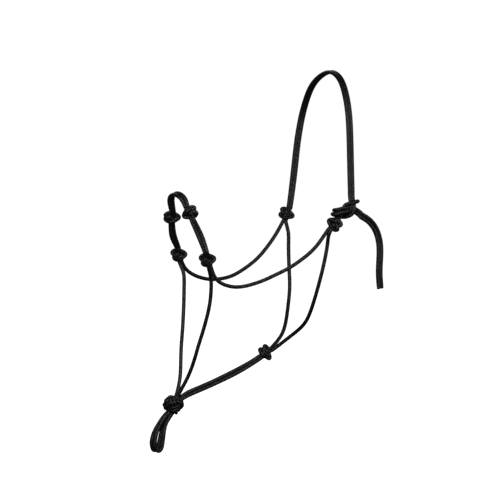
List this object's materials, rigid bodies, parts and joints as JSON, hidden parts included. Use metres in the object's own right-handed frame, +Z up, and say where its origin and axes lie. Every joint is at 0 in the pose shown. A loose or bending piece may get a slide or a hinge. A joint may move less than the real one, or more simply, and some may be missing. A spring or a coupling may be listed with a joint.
{
  "type": "rope halter",
  "caption": "Knotted rope halter for a horse: a doubled crown rope tied to a loop, cheek, nose, chin and throat ropes joined by knots, and a lead loop under the woven chin knot.",
  "frame": {"origin": "underside of the crown rope at the top of its arch, where it rests on the poll behind the horse's ears", "axes": "+Z up, -X towards the horse's nose, -Y towards the horse's near (left) side, where the crown is tied"},
  "size_m": [0.4084, 0.2098, 0.6566],
  "materials": {
    "rope": "tightly braided black polyester rope, soft sheen",
    "rope_end": "fused, heat-sealed rope tip, slightly glossy"
  },
  "bodies": {
    "crown": {"crown_front_strand": "rope", "crown_rear_strand": "rope", "tie_loop": "rope", "sheet_bend_upper_turn": "rope", "sheet_bend_lower_turn": "rope"},
    "headstall": {"near_cheek_knot": "rope", "off_cheek_knot": "rope", "near_cheek_rope": "rope", "off_cheek_rope": "rope", "near_nose_knot": "rope", "off_nose_knot": "rope"},
    "noseband": {"noseband_near_front_strand": "rope", "noseband_near_rear_strand": "rope", "noseband_off_front_strand": "rope", "noseband_off_rear_strand": "rope", "noseband_top_front_strand": "rope", "noseband_top_rear_strand": "rope", "near_bridge_knot": "rope", "off_bridge_knot": "rope"},
    "chin": {"near_chin_rope": "rope", "off_chin_rope": "rope", "fiador_knot": "rope"},
    "lead_loop": {"lead_loop_near_bight": "rope", "lead_loop_far_bight": "rope"},
    "throat": {"near_throat_rope": "rope", "off_throat_rope": "rope", "throat_knot": "rope"},
    "jaw": {"jaw_upper_strand": "rope", "jaw_lower_strand": "rope"},
    "tail": {"tail_upper_front_strand": "rope", "tail_upper_rear_strand": "rope"},
    "tail_end": {"tail_lower_front_strand": "rope", "tail_lower_rear_strand": "rope", "tail_end_seal": "rope_end"}
  },
  "joints": [
    {"name": "head_swing", "type": "hinge", "parent": "crown", "child": "headstall", "pos_m": [-0.036, 0, -0.2555], "axis": [0, 1, 0], "range_deg": [-20, 20]},
    {"name": "noseband_lift", "type": "hinge", "parent": "headstall", "child": "noseband", "pos_m": [-0.269, 0, -0.31], "axis": [0, 1, 0], "range_deg": [-35, 30]},
    {"name": "chin_swing", "type": "hinge", "parent": "headstall", "child": "chin", "pos_m": [-0.269, 0, -0.31], "axis": [0, 1, 0], "range_deg": [-10, 10]},
    {"name": "throat_swing", "type": "hinge", "parent": "headstall", "child": "throat", "pos_m": [-0.036, 0, -0.2555], "axis": [0, 1, 0], "range_deg": [-13, 13]},
    {"name": "jaw_swing", "type": "hinge", "parent": "throat", "child": "jaw", "pos_m": [-0.123, 0, -0.488], "axis": [0, 1, 0], "range_deg": [-17, 17]},
    {"name": "lead_loop_swing", "type": "hinge", "parent": "chin", "child": "lead_loop", "pos_m": [-0.312, 0, -0.585], "axis": [0, 1, 0], "range_deg": [-40, 40]},
    {"name": "tail_swing", "type": "hinge", "parent": "crown", "child": "tail", "pos_m": [0.007, -0.096, -0.236], "axis": [0, 1, 0], "range_deg": [-20, 20]},
    {"name": "tail_bend", "type": "hinge", "parent": "tail", "child": "tail_end", "pos_m": [0.05, -0.1, -0.3045], "axis": [1, 0, 0], "range_deg": [-45, 10]}
  ],
  "couplings": [
    {"joint": "throat_swing", "follows": "chin_swing", "ratio": 1.251},
    {"joint": "jaw_swing", "follows": "chin_swing", "ratio": -1.637}
  ]
}
